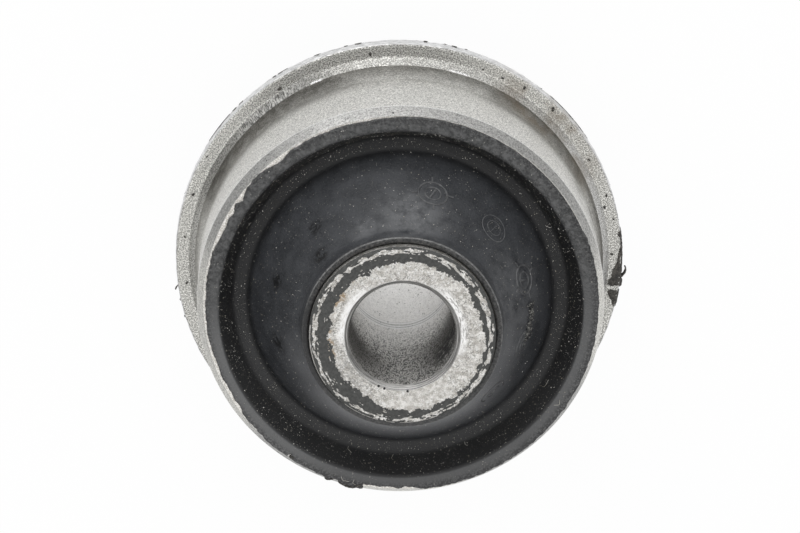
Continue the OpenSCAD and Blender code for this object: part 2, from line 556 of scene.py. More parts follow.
def crumb(name, rings=1):
    """A small lump to copy."""
    bpy.ops.mesh.primitive_ico_sphere_add(subdivisions=rings, radius=1)
    bit = named(name)
    edit_all()
    bpy.ops.transform.vertex_random(offset=0.25, seed=3)
    bpy.ops.object.mode_set(mode="OBJECT")
    return bit


def seat(path, turn, s, size, flat, spin):
    """The matrix that sits a lump of that size on a turned path, a little sunk, flattened and turned on its seat."""
    _, out = path.at(s)
    a = math.radians(turn)
    up = Vector((out.x * math.cos(a), out.x * math.sin(a), out.y))
    side = Vector((-math.sin(a), math.cos(a), 0))
    along = up.cross(side)
    turnabout = Matrix((side, along, up)).transposed().to_4x4()
    spot = on_path(path, turn, s, size * flat * 0.8)
    shape = Matrix.Diagonal((size * 1.25, size * 0.8, size * flat, 1))
    return Matrix.Translation(spot) @ turnabout @ Matrix.Rotation(spin, 4, "Z") @ shape


scuff_spots = []
for _ in range(180):
    share = rng.random()
    turn = 0.5 - 17.5 * share + rng.gauss(0, 0.5)
    s = CONE.length - 6.7 + rng.gauss(0, 0.4) - 0.5 * share
    scuff_spots.append(seat(CONE, turn, s, rng.uniform(0.07, 0.19), rng.uniform(0.5, 0.9), rng.uniform(0, FULL_TURN)))
scuff = copies("scuffed_strip", crumb("scuff", 2), scuff_spots)
bpy.ops.object.shade_smooth()

FLANGE_PATH = Path([
    (29.2, FLANGE_FRONT), (30.7, FLANGE_FRONT), (30.9, 13.65), (31.05, 13.5), (FLANGE_R, 13.3),
    (FLANGE_R, 11.7), (31.05, 11.5), (30.9, 11.35), (30.6, FLANGE_BACK),
])
FLANGE_CORNER = 1.8
# Where the smear's two parts begin along that path: turn, length
SMEAR_ABOVE = [(-10.2, 0.2), (-9, 0.45), (-6.5, 0.75), (-2, 1.3), (1, 1.72), (2.6, 1.95), (3.2, 1.5), (4.6, 1.6)]
SMEAR_BELOW = [(-16, 1.6), (-14.6, 1.1), (-13, 0.5), (-11.6, 0.4)]


def smear_stays(turn, s):
    """The rubber torn over the flange's edge: widest at its lower end, with holes where the edge rubs through."""
    p = on_path(FLANGE_PATH, turn, s, 0)
    torn = 0.22 * lumpy(p, 0.7, 11) + 0.12 * lumpy(p, 0.3, 12)
    if -10.2 + 0.6 * torn < turn < 4.6:
        inside = s > between(SMEAR_ABOVE, turn) + torn
    elif -16 < turn < -11.5 - 0.8 * torn:
        inside = s > between(SMEAR_BELOW, turn) + torn
    else:
        return False
    if not inside:
        return False
    on_corner = abs(s - FLANGE_CORNER) < 0.16
    dashes = noise.noise(Vector((turn * 1.35, 4.2, 0))) + 0.4 * lumpy(p, 0.25, 13)
    return not (on_corner and turn < 2 and dashes > 0.02)


smear = sheet("flange_smear", FLANGE_PATH, 5, -17, (150, 48), smear_stays)
thicken(smear, 0.14)
roughen(smear, "smear_lumps", 0.6, 0.16)


def tag(name, spine, widths, thickness):
    """A torn tag of rubber: a strip along a spine of places, as wide as widths say, thick and lumpy."""
    last = len(spine) - 1
    bpy.ops.mesh.primitive_grid_add(x_subdivisions=last, y_subdivisions=3, size=1)
    piece = named(name)
    for v in piece.data.vertices:
        i = round((v.co.x + 0.5) * last)
        ahead = spine[min(last, i + 1)] - spine[max(0, i - 1)]
        out = Vector((spine[i].x, spine[i].y, 0)).normalized()
        across = ahead.cross(out)
        if across.length < 1e-4:
            across = Vector((0, 0, 1))
        v.co = spine[i] + across.normalized() * v.co.y * widths[i]
    thicken(piece, thickness, 0)
    modify(piece, "soft", "SUBSURF", levels=3, render_levels=3)
    roughen(piece, name + "_lumps", 0.35, 0.14)
    roughen(piece, name + "_grain", 0.14, 0.07)
    return piece


def lump(name, middle, size):
    """A torn lump of rubber at a place, with its three half sizes around, outwards and up."""
    bpy.ops.mesh.primitive_ico_sphere_add(subdivisions=4, radius=1)
    piece = named(name)
    edit_all()
    bpy.ops.transform.resize(value=(size[1], size[0], size[2]))
    bpy.ops.object.mode_set(mode="OBJECT")
    piece.data.transform(Matrix.Translation(middle) @ Matrix.Rotation(math.radians(turn_of(middle)), 4, "Z"))
    roughen(piece, name + "_lumps", 0.5, 0.45)
    roughen(piece, name + "_grain", 0.18, 0.1)
    return piece


flange_tags = [
    smear,
    tag("curled_tag", [
        place(-8.4, 30.95, 12.6), place(-8.0, 31.25, 12.7), place(-7.2, 31.6, 12.9), place(-6.3, 31.78, 13.0),
        place(-5.5, 31.75, 13.1), place(-4.9, 31.55, 13.15),
    ], [0.9, 0.8, 0.7, 0.55, 0.35, 0.12], 0.22),
    lump("smear_lump", place(-9.7, 31.1, 12.7), (0.65, 0.42, 0.7)),
    lump("smear_knot", place(-9.9, 30.0, 13.75), (0.28, 0.45, 0.16)),
    tag("left_tag", [
        place(-175.3, 31.0, 12.9), place(-175.0, 31.3, 13.0), place(-174.6, 31.5, 13.15), place(-174.2, 31.55, 13.3),
    ], [0.3, 0.25, 0.2, 0.08], 0.14),
    lump("left_crumb_1", place(-171.0, 31.1, 12.8), (0.14, 0.1, 0.14)),
    lump("left_crumb_2", place(-166.5, 31.1, 12.8), (0.18, 0.1, 0.16)),
    lump("left_crumb_3", place(-147.5, 31.05, 12.9), (0.5, 0.12, 0.3)),
]

BACK_EDGE = Path([
    (FLANGE_R, 12.1), (FLANGE_R, 11.7), (31.05, 11.5), (30.9, 11.35), (30.7, FLANGE_BACK), (29.6, FLANGE_BACK),
])

# Where bits of the flash stand up over the edge: from one turn to another, and how much of the edge they leave bare
FLASH_BITS = [
    (30, 45, 0.36), (72.4, 74, 0.0), (79.8, 81.2, 0.1), (96.8, 98.8, 0.1), (100.3, 101.6, 0.15), (117, 119.8, 0.15),
    (120.4, 121.6, 0.08), (131.2, 132.8, 0.12), (133.4, 135, 0.02), (136, 145, 0.3),
]


def back_flash_stays(turn, s):
    """Thin flash from behind, broken along the back edge of the flange."""
    p = place(turn, FLANGE_R, 0)
    reach = 1.25 - 2.2 * max(0, lumpy(p, 2.2, 21) + 0.6 * lumpy(p, 0.8, 22) - 0.24) - 0.25 * lumpy(p, 0.35, 23)
    for first, last, bare in FLASH_BITS:
        if first < turn < last:
            reach = min(reach, bare + 0.2 * lumpy(p, 0.4, 24))
    return s > reach


back_flash = sheet("back_flash", BACK_EDGE, 180, -180, (900, 16), back_flash_stays)
thicken(back_flash, 0.07)

# Specks of rubber on the flange: turn, length along its path
SPECKS = [
    (64.6, 0.55), (52.5, 1.0), (58.8, 0.62), (43.0, 1.15), (15.0, 1.05), (8.2, 1.2), (26.0, 0.8), (-1.5, 0.5),
    (121.0, 0.5), (148.0, 1.3), (159.0, 0.9), (171.0, 0.8), (-176.0, 0.6), (36.0, 1.25), (12.0, 0.35), (95.0, 0.7),
]
speck_spots = [seat(FLANGE_PATH, *spot, rng.uniform(0.12, 0.3), 0.35, rng.uniform(0, FULL_TURN)) for spot in SPECKS]
flange_specks = copies("flange_specks", crumb("speck", 2), speck_spots)

rim_tags = [
    tag("rim_flash_1", [
        place(-104.4, 26.4, 33.62), place(-105.5, 26.95, 33.55), place(-107.0, 27.3, 33.3), place(-108.6, 27.35, 33.1),
        place(-110.2, 27.2, 33.2), place(-111.2, 26.9, 33.4),
    ], [0.8, 0.9, 0.8, 0.7, 0.5, 0.3], 0.3),
    tag("rim_flash_2", [
        place(-112.4, 26.5, 33.6), place(-113.2, 26.95, 33.5), place(-114.2, 27.25, 33.3), place(-115.2, 27.2, 33.2),
    ], [0.4, 0.5, 0.4, 0.2], 0.22),
    lump("rim_crumb_1", place(-104.6, 26.95, 33.45), (0.4, 0.3, 0.25)),
    lump("rim_crumb_2", place(-109.0, 26.8, 33.6), (0.5, 0.18, 0.16)),
    lump("rim_crumb_3", place(-114.6, 26.9, 33.6), (0.4, 0.2, 0.18)),
    lump("rim_crumb_4", place(-127.0, 26.5, 33.75), (0.35, 0.25, 0.14)),
]

torn_rubber = join("torn_rubber", flange_tags + [back_flash, flange_specks] + rim_tags)
bpy.ops.object.shade_smooth_by_angle(angle=math.radians(50))

# ---------------------------------------------------------------- dust and fibres on the rubber

FRONT_RUBBER = Path([(13.9, 42.1), CREASE, GROOVE_FLOOR, (RIM_IN_R, RIM_Z), (26.4, RIM_Z)])
# The length along it at which the groove begins, and how far the groove reaches
GROOVE_S = CONE.length - 0.6
GROOVE_LENGTH = 6.4
GRAINS = 5600
grains = []
for _ in range(GRAINS):
    turn = rng.uniform(-180, 180)
    deep = rng.random() < 0.64
    s = rng.uniform(GROOVE_S, GROOVE_S + GROOVE_LENGTH) if deep else rng.uniform(0.3, FRONT_RUBBER.length)
    size = 0.019 + 0.05 * rng.random() ** 5
    grains.append(seat(FRONT_RUBBER, turn, s, size, rng.uniform(0.5, 1), rng.uniform(0, FULL_TURN)))
dust = copies("dust", crumb("grain"), grains)


def fibre(turn, s, length, bend, heading):
    """A fine fibre that lies on the rubber in a loose curve."""
    points = []
    for i in range(9):
        t = i / 8 - 0.5
        x, y = length * t, bend * math.cos(math.pi * t) + 0.06 * math.sin(9 * t + turn)
        c, d = math.cos(heading), math.sin(heading)
        around, along = x * c - y * d, x * d + y * c
        (radius, _), _ = FRONT_RUBBER.at(s + along)
        points.append(on_path(FRONT_RUBBER, turn + math.degrees(around / radius), s + along, 0.05))
    bpy.ops.curve.primitive_nurbs_path_add()
    hair = named("fibre")
    hair.data.splines.clear()
    spline = hair.data.splines.new("NURBS")
    spline.points.add(len(points) - 1)
    for point, p in zip(spline.points, points):
        point.co = (*p, 1)
    spline.use_endpoint_u = True
    spline.resolution_u = 3
    hair.data.bevel_depth = 0.022
    hair.data.bevel_resolution = 1
    hair.data.use_fill_caps = True
    bpy.ops.object.convert(target="MESH")
    return bpy.context.object


# Each fibre: turn, length along the path, its own length, bend and heading
FIBRES = [
    (-34.5, GROOVE_S + 3.0, 1.6, 0.5, 0.4),
    (-69.5, GROOVE_S + 2.5, 1.2, 0.2, 1.4),
    (-110.0, GROOVE_S + 2.6, 1.3, 0.3, 1.1),
    (-36.0, FRONT_RUBBER.length - 0.9, 1.1, 0.35, 0.2),
    (24.0, GROOVE_S + 1.6, 0.9, 0.25, 2.2),
    (150.0, GROOVE_S + 2.2, 0.8, 0.2, 0.9),
    (-109.5, FRONT_RUBBER.length - 0.2, 1.3, 0.3, 0.2),
    (-106.5, FRONT_RUBBER.length - 0.1, 0.8, 0.25, 1.2),
    (-95.0, GROOVE_S + 2.8, 1.0, 0.25, 1.7),
]
fibres = join("fibres", [fibre(*spot) for spot in FIBRES])
bpy.ops.object.shade_smooth()

# ---------------------------------------------------------------- finishes


def add(tree, kind, inputs, **settings):
    """Adds a shader node. An input is a socket to link or a value to set."""
    made = tree.nodes.new("ShaderNode" + kind)
    for key, value in settings.items():
        setattr(made, key, value)
    for key, value in inputs.items():
        if isinstance(value, bpy.types.NodeSocket):
            tree.links.new(value, made.inputs[key])
        else:
            made.inputs[key].default_value = value
    return made


def scaled(value, factor):
    return add(value.id_data, "Math", {0: value, 1: factor}, operation="MULTIPLY").outputs[0]


def sums(a, b):
    return add(a.id_data, "Math", {0: a, 1: b}, operation="ADD").outputs[0]


def less(a, b):
    return add(a.id_data, "Math", {0: a, 1: b}, operation="SUBTRACT").outputs[0]


def both(*shares):
    """The product of several shares. The first one is a socket."""
    whole = shares[0]
    for share in shares[1:]:
        whole = scaled(whole, share)
    return whole


def either(*shares):
    """The largest of several shares. The first one is a socket."""
    whole = shares[0]
    for share in shares[1:]:
        whole = add(whole.id_data, "Math", {0: whole, 1: share}, operation="MAXIMUM").outputs[0]
    return whole


def ramp(value, low, high, start=0.0, end=1.0):
    """start where the value is at low, end at high, with an even curve between them; low may be above high."""
    if low > high:
        low, high, start, end = high, low, end, start
    limits = {"Value": value, "From Min": low, "From Max": high, "To Min": start, "To Max": end}
    return add(value.id_data, "MapRange", limits, interpolation_type="SMOOTHSTEP").outputs[0]


def band(value, low, rise, fall, high):
    """1 from rise to fall, and 0 below low and above high."""
    return both(ramp(value, low, rise), ramp(value, high, fall))


def cloud(vector, scale, detail=2.0, rough=0.55):
    """Noise with that many lumps to a millimetre."""
    lumps = {"Vector": vector, "Scale": scale, "Detail": detail, "Roughness": rough}
    return add(vector.id_data, "TexNoise", lumps).outputs[0]


def dots(vector, scale, size, share):
    """Round dots: cells of which only a share has a dot, smaller or larger."""
    cells = add(vector.id_data, "TexVoronoi", {"Vector": vector, "Scale": scale})
    pick = add(vector.id_data, "SeparateColor", {0: cells.outputs["Color"]})
    inside = less(scaled(pick.outputs[1], size), cells.outputs["Distance"])
    return both(ramp(inside, 0.0, size * 0.3), ramp(pick.outputs[0], share, share - 0.01))


def blend(share, a, b):
    """Colour a where the share is 0 and colour b where it is 1."""
    return add(share.id_data, "Mix", {0: share, 6: a, 7: b}, data_type="RGBA").outputs[2]


def grey(level, warm=0.0):
    return (level * (1 + 0.3 * warm), level, level * (1 - 1.3 * warm), 1)


class Where:
    """The place on the piece in millimetres: its vector, radius, height, and the direction from the axis."""

    def __init__(self, tree):
        self.tree = tree
        coords = add(tree, "TexCoord", {})
        self.p = add(tree, "Mapping", {"Vector": coords.outputs["Object"], "Scale": (1000, 1000, 1000)}).outputs[0]
        split = add(tree, "SeparateXYZ", {0: self.p})
        self.z = split.outputs[2]
        flat = add(tree, "CombineXYZ", {0: split.outputs[0], 1: split.outputs[1]}).outputs[0]
        self.r = add(tree, "VectorMath", {0: flat}, operation="LENGTH").outputs["Value"]
        self.out = add(tree, "VectorMath", {0: flat}, operation="NORMALIZE").outputs[0]
        self.out_y = add(tree, "SeparateXYZ", {0: self.out}).outputs[1]

    def round_and_round(self, along, across, height):
        """A vector for streaks that run round the axis: long around, fine across."""
        around = add(self.tree, "VectorMath", {0: self.out, 3: along}, operation="SCALE").outputs[0]
        fine = sums(scaled(self.r, across), scaled(self.z, height))
        up = add(self.tree, "CombineXYZ", {2: fine}).outputs[0]
        return add(self.tree, "VectorMath", {0: around, 1: up}, operation="ADD").outputs[0]

    def near(self, spot, radius, core=0.0):
        """1 inside the core around a spot in millimetres, falling to 0 at that radius."""
        gap = add(self.tree, "VectorMath", {0: self.p, 1: tuple(spot)}, operation="DISTANCE").outputs["Value"]
        return ramp(gap, radius, core)


def finish(name, **sockets):
    """A new finish, its shader with the even values set on its sockets, and where its points are."""
    material = bpy.data.materials.new(name)
    material.use_nodes = True
    shader = material.node_tree.nodes["Principled BSDF"]
    for key, value in sockets.items():
        shader.inputs[key.replace("_", " ")].default_value = value
    return material, shader, Where(material.node_tree)


def drive(shader, **sockets):
    """Links what changes over the surface to the shader's inputs of those names."""
    for key, socket in sockets.items():
        shader.id_data.links.new(socket, shader.inputs[key.replace("_", " ")])


def bump(shader, *layers):
    """Bumps from (height socket, depth in mm) layers, on top of each other."""
    normal = None
    for height, depth in layers:
        inputs = {"Height": height, "Strength": 1.0, "Distance": depth * MM}
        if normal:
            inputs["Normal"] = normal
        normal = add(shader.id_data, "Bump", inputs).outputs[0]
    drive(shader, Normal=normal)


# ---------------------------------------------------------------- the flanged sleeve's finish


def wall_colour(here, fine, coarse):
    """The wall, with painted light at two sides and painted shade above the foot and in streaks at the right. Also
    gives that painted shade.
    """
    wall = blend(fine, grey(0.42, 0.035), grey(0.96, 0.03))
    # painted light: the wall brightened at two sides
    painted_light = either(here.near(place(-16, 27.7, 28), 9, 3), here.near(place(186, 27.7, 28), 10, 3))
    wall = blend(scaled(painted_light, 0.8), wall, blend(fine, grey(0.75, 0.024), grey(0.99, 0.01)))
    left, right = here.near(place(132, 28, 17), 21, 11), here.near(place(42, 28, 17), 15, 7)
    shade_streaks = ramp(cloud(here.round_and_round(6, 0, 0.5), 1.0, 5, 0.7), 0.36, 0.6)
    # painted shade: darker down towards the flange's foot, at two sides above the foot and in streaks at the right
    painted_shade = either(
        scaled(ramp(here.z, 21.5, 14.9), 0.66),
        both(ramp(here.z, 23.5, 16.5), either(left, scaled(right, 0.86)), 0.85),
        both(here.near(place(12, 27.7, 24), 11, 2), shade_streaks, 0.7),
    )
    above_foot = ramp(here.z, 14.75, 14.95)
    patchy = ramp(cloud(here.p, 0.7, 4, 0.7), 0.32, 0.6, 0.72, 1.0)
    # less of the painted shade at the left
    less_shade_left = ramp(here.near(place(180, 28, 17), 15, 6), 0, 1, 1.0, 0.5)
    painted_shade = both(painted_shade, above_foot, patchy, less_shade_left, ramp(here.z, 31.7, 30))
    return blend(painted_shade, wall, blend(coarse, (0.022, 0.021, 0.0185, 1), (0.21, 0.202, 0.182, 1))), painted_shade


def flange_colour(here, on_foot, coarse, turned_lines):
    """The flange: coarse grain on its face and foot, with painted shade at the back, painted light on the foot at one
    side, and turned lines on its edge.
    """
    face = blend(coarse, grey(0.38, 0.045), grey(0.99, 0.035))
    # painted shade on the face at the back
    shaded_face = blend(coarse, grey(0.14, 0.05), grey(0.58, 0.04))
    face = blend(scaled(here.near(place(97, 30, FLANGE_FRONT), 22, 9), 0.8), face, shaded_face)
    foot = blend(coarse, grey(0.34, 0.04), grey(0.82, 0.03))
    # painted shade on the foot
    shaded_foot = blend(coarse, grey(0.10, 0.05), grey(0.40, 0.04))
    foot = blend(scaled(here.near(place(132, 28.9, 14.3), 18, 9), 0.78), foot, shaded_foot)
    # painted light on the foot at one side
    lit_foot = blend(coarse, grey(0.7, 0.02), grey(1.0))
    foot = blend(scaled(here.near(place(12, 28.9, 14.3), 16, 7), 0.9), foot, lit_foot)
    edge = blend(turned_lines, grey(0.50), grey(0.95))
    return blend(ramp(here.r, 30.95, 31.03), blend(on_foot, face, foot), edge)


def lead_colour(here, fine, turned_lines):
    """The lead-in chamfer: turned lines under fine grain, with painted shade at the back and painted light at four
    places.
    """
    lead = blend(fine, blend(turned_lines, grey(0.24, 0.02), grey(0.44, 0.02)), grey(0.62, 0.02))
    # painted shade at the back
    shaded_lead = blend(fine, grey(0.2, 0.02), grey(0.45, 0.02))
    lead = blend(scaled(here.near(place(85, 27.2, 32.6), 12, 5), 0.5), lead, shaded_lead)
    # painted light at four places
    lit_places = ((-6, 13), (178, 12), (-157, 11), (-92, 11))
    painted_light = either(*[here.near(place(turn, 27.2, 32.6), reach, 4) for turn, reach in lit_places])
    return blend(scaled(painted_light, 0.95), lead, blend(fine, grey(0.62, 0.045), grey(1.0, 0.04)))


def blasted_steel():
    """Dull blasted steel, coarse on the flange, fine on the wall, turned on the lead-in chamfer."""
    material, shader, here = finish("blasted_steel", Metallic=1.0)
    on_flange = ramp(here.z, 15.0, 14.85)
    on_foot = both(ramp(here.z, 13.72, 13.85), ramp(here.r, 29.5, 29.3))
    on_lead = both(ramp(here.z, 31.85, 31.95), ramp(here.r, 26.55, 26.7))
    on_end = both(ramp(here.z, 33.2, 33.3), ramp(here.r, 26.75, 26.6))
    coarse = ramp(cloud(here.p, 5.4, 2, 0.75), 0.42, 0.58)
    fine = ramp(cloud(here.p, 4.4, 3, 0.8), 0.4, 0.6)
    turned_lines = ramp(cloud(here.round_and_round(26, 0, 7.0), 1.0, 2, 0.65), 0.36, 0.64)
    wall, painted_shade = wall_colour(here, fine, coarse)
    colour = blend(on_flange, wall, flange_colour(here, on_foot, coarse, turned_lines))
    colour = blend(on_lead, colour, lead_colour(here, fine, turned_lines))
    colour = blend(on_end, colour, blend(coarse, (0.54, 0.515, 0.47, 1), (0.92, 0.90, 0.865, 1)))
    stains = ramp(cloud(here.p, 0.22, 4, 0.6), 0.4, 0.66)
    brown = both(here.near(place(40, 28, 16), 13, 4), stains, ramp(here.z, 21, 16), 0.6)
    colour = blend(brown, colour, (0.27, 0.215, 0.155, 1))
    scraped = both(here.near(place(127, 29, 14.2), 9.0, 2.0), on_foot, ramp(here.z, 15.1, 14.9))
    strokes = ramp(cloud(here.round_and_round(150, 0, 1.6), 1.0, 3, 0.7), 0.4, 0.6)
    colour = blend(scaled(scraped, 0.6), colour, blend(strokes, grey(0.05, 0.03), grey(0.95, 0.02)))
    glints = either(here.near(place(111, 28.4, 14.9), 1.1, 0.5), here.near(place(70.5, 28.4, 14.9), 1.8, 0.9))
    glints = both(glints, band(here.z, 14.6, 14.8, 15.0, 15.15))
    colour = blend(glints, colour, grey(1.0))
    # painted highlight along the wall's edge at the chamfer
    edge_highlight = band(here.z, 31.72, 31.84, 31.9, 31.98)
    colour = blend(scaled(edge_highlight, 0.7), colour, grey(0.95))
    pits = either(dots(here.p, 0.7, 0.16, 0.16), dots(here.p, 1.6, 0.2, 0.10))
    colour = blend(scaled(pits, 0.8), colour, grey(0.05))
    rough = sums(scaled(fine, 0.08), ramp(on_flange, 0, 1, 0.32, 0.34))
    rough = less(rough, scaled(glints, 0.2))
    # the painted shade also darkens the steel's reflection tint
    tint = blend(painted_shade, (1, 1, 1, 1), (0.2, 0.19, 0.17, 1))
    drive(shader, Base_Color=colour, Roughness=rough, Specular_Tint=tint)
    bump(shader, (both(coarse, on_flange), 0.028), (fine, 0.012), (both(turned_lines, on_lead), 0.015))
    return material


# ---------------------------------------------------------------- the rubber body's finish


def cone_colour(here, mottle, grain):
    """The cone: blue-grey, with dark smudges and pale haze that is partly dust and partly painted sheen, and a painted
    sheen that makes it paler in the lower half towards the lip.
    """
    cone = blend(ramp(mottle, 0.35, 0.68), (0.0225, 0.0244, 0.0282, 1), (0.0395, 0.0422, 0.0475, 1))
    # pale haze: partly dust and partly painted sheen
    haze_and_sheen = either(
        here.near(place(82, 15.0, 40.2), 7.5, 0.5),
        here.near(place(108, 14.4, 41.2), 3.0),
        scaled(here.near(place(6, 15.5, 39), 10.0, 3.0), 0.6),
        scaled(here.near(place(-14, 15.5, 39), 6.0, 2.0), 0.5),
        scaled(here.near(place(-42, 15.5, 39), 10.0, 3.0), 0.4),
    )
    haze_and_sheen = both(haze_and_sheen, ramp(cloud(here.p, 0.6, 4, 0.65), 0.3, 0.62))
    cone = blend(scaled(haze_and_sheen, 0.9), cone, (0.132, 0.135, 0.141, 1))
    # painted sheen: paler in the lower half, most towards the lip
    sheen_by_lip = both(ramp(here.out_y, 0.1, -0.45, 0.0, 0.85), ramp(here.r, 18.6, 13.8))
    cone = blend(sheen_by_lip, cone, blend(mottle, (0.10, 0.103, 0.109, 1), (0.17, 0.173, 0.18, 1)))
    low_cone_sheen = both(ramp(here.out_y, -0.45, -0.95), ramp(here.r, 21.0, 17.0))
    cone = blend(low_cone_sheen, cone, (0.148, 0.150, 0.156, 1))
    low_sheen_by_lip = both(ramp(here.out_y, -0.5, -0.9), ramp(here.r, 18.0, 14.6), 0.75)
    cone = blend(low_sheen_by_lip, cone, (0.275, 0.279, 0.287, 1))
    cone = blend(scaled(grain, 0.3), cone, (0.076, 0.078, 0.082, 1))
    smudge = either(
        here.near(place(131, 16.8, 36.9), 1.6, 0.6),
        here.near(place(135.7, 14.5, 41), 1.7, 0.6),
        here.near(place(163, 17.5, 36), 1.8, 0.5),
        here.near(place(-168, 17.2, 36.2), 2.4, 0.6),
    )
    smudge = both(smudge, ramp(cloud(here.p, 1.4, 3, 0.65), 0.42, 0.54))
    return blend(scaled(smudge, 0.9), cone, (0.003, 0.003, 0.0035, 1))


def groove_colour(here, lower, mottle, grain):
    """The groove: near black, paler on its lower wall in the lower half, with painted sheen on its floor, most in the
    lower half, and darker at the right.
    """
    groove = blend(ramp(mottle, 0.35, 0.68), (0.0105, 0.0108, 0.0114, 1), (0.0175, 0.0178, 0.0186, 1))
    low_wall = both(lower, ramp(here.r, 21.8, 23), 0.9)
    groove = blend(low_wall, groove, (0.029, 0.0293, 0.030, 1))
    # painted sheen on the groove's floor, most in the lower half
    floor_sheen = both(ramp(here.r, 22.8, 21.8), ramp(lower, 0.4, 1, 0.1, 0.9))
    groove = blend(floor_sheen, groove, (0.030, 0.0305, 0.0315, 1))
    groove = blend(scaled(here.near(place(-8, 23, 31.5), 13, 5), 0.7), groove, (0.0105, 0.0107, 0.0112, 1))
    return blend(scaled(grain, 0.1), groove, (0.05, 0.05, 0.05, 1))


def rim_colour(here, lower, rough_rim, mottle, grain, lumps):
    """The skin on the rim: dull grey, lumpy in the upper half, paler in the lower one, dark along its torn edge."""
    rim = blend(ramp(mottle, 0.35, 0.65), (0.058, 0.059, 0.061, 1), (0.080, 0.081, 0.082, 1))
    rim = blend(scaled(lower, 0.5), rim, (0.125, 0.126, 0.128, 1))
    lumpy_rim = blend(lumps, (0.025, 0.026, 0.027, 1), (0.106, 0.107, 0.108, 1))
    rim = blend(scaled(rough_rim, 0.9), rim, lumpy_rim)
    rim = blend(scaled(here.near(place(-148, 25.6, 34), 17, 8), 0.75), rim, (0.135, 0.136, 0.138, 1))
    rim = blend(scaled(grain, 0.4), rim, (0.125, 0.125, 0.123, 1))
    torn_edge = both(ramp(here.r, 25.5, 26.5), ramp(grain, 0.75, 0.3), 0.75)
    return blend(torn_edge, rim, (0.02, 0.02, 0.021, 1))


def dusty_rubber():
    """Near black in the groove, blue-grey and satin on the cone, dull grey with dust on the rim."""
    material, shader, here = finish("dusty_rubber", Specular_IOR_Level=0.45)
    front = ramp(here.z, 20, 21)
    lower = ramp(here.out_y, 0.3, -0.4)
    on_rim = both(ramp(here.z, 33.2, 33.6), ramp(less(here.r, scaled(lower, 0.44)), 24.35, 24.7))
    rough_rim = ramp(here.out_y, -0.1, 0.35)
    in_groove = both(front, ramp(here.r, 20.2, 21.4), ramp(on_rim, 1, 0))
    # painted shade in the crease at the foot of the cone, weaker in the lower half
    crease_shade = both(front, band(here.r, 19.9, 20.7, 21.0, 21.6), ramp(here.out_y, -0.4, -0.9, 0.55, 0.2))
    mottle = cloud(here.p, 0.35, 4, 0.6)
    grain = ramp(cloud(here.p, 3.6, 3, 0.75), 0.38, 0.64)
    lumps = ramp(cloud(here.p, 1.15, 4, 0.7), 0.36, 0.62)
    colour = blend(in_groove, cone_colour(here, mottle, grain), groove_colour(here, lower, mottle, grain))
    colour = blend(crease_shade, colour, (0.003, 0.003, 0.0033, 1))
    colour = blend(on_rim, colour, rim_colour(here, lower, rough_rim, mottle, grain, lumps))
    dark_side = here.near(place(185, 13, 45), 9, 4)
    lip = blend(grain, (0.008, 0.008, 0.009, 1), (0.085, 0.084, 0.08, 1))
    lip = blend(scaled(dark_side, 0.75), lip, (0.012, 0.012, 0.013, 1))
    on_lip = both(ramp(here.z, 44.3, 44.7), ramp(here.r, 13.5, 13.4))
    colour = blend(scaled(on_lip, 0.85), colour, lip)
    lip_line = both(ramp(here.z, 44.55, 44.7), band(here.r, 13.2, 13.28, 13.36, 13.42))
    broken = ramp(cloud(here.p, 2.6, 4, 0.75), 0.42, 0.58, 0.3, 1.0)
    colour = blend(both(lip_line, broken, ramp(dark_side, 0, 1, 0.8, 0.2)), colour, (0.24, 0.24, 0.24, 1))
    dust = either(dots(here.p, 1.5, 0.14, 0.6), dots(here.p, 3.2, 0.22, 0.5))
    cells = add(here.tree, "TexVoronoi", {"Vector": here.p, "Scale": 1.5})
    bright = add(here.tree, "SeparateColor", {0: cells.outputs["Color"]}).outputs[2]
    dust_colour = blend(bright, (0.14, 0.13, 0.11, 1), (0.5, 0.48, 0.42, 1))
    colour = blend(both(dust, ramp(in_groove, 0, 1, 0.6, 0.9)), colour, dust_colour)
    rough = sums(ramp(mottle, 0.3, 0.7, 0.42, 0.54), scaled(on_rim, 0.1))
    drive(shader, Base_Color=colour, Roughness=rough)
    rim_lumps = both(lumps, on_rim, ramp(rough_rim, 0, 1, 0.35, 1.0))
    bump(shader, (mottle, 0.06), (rim_lumps, 0.09), (grain, 0.02), (dust, 0.03))
    return material


# ---------------------------------------------------------------- the bolt sleeve's finish


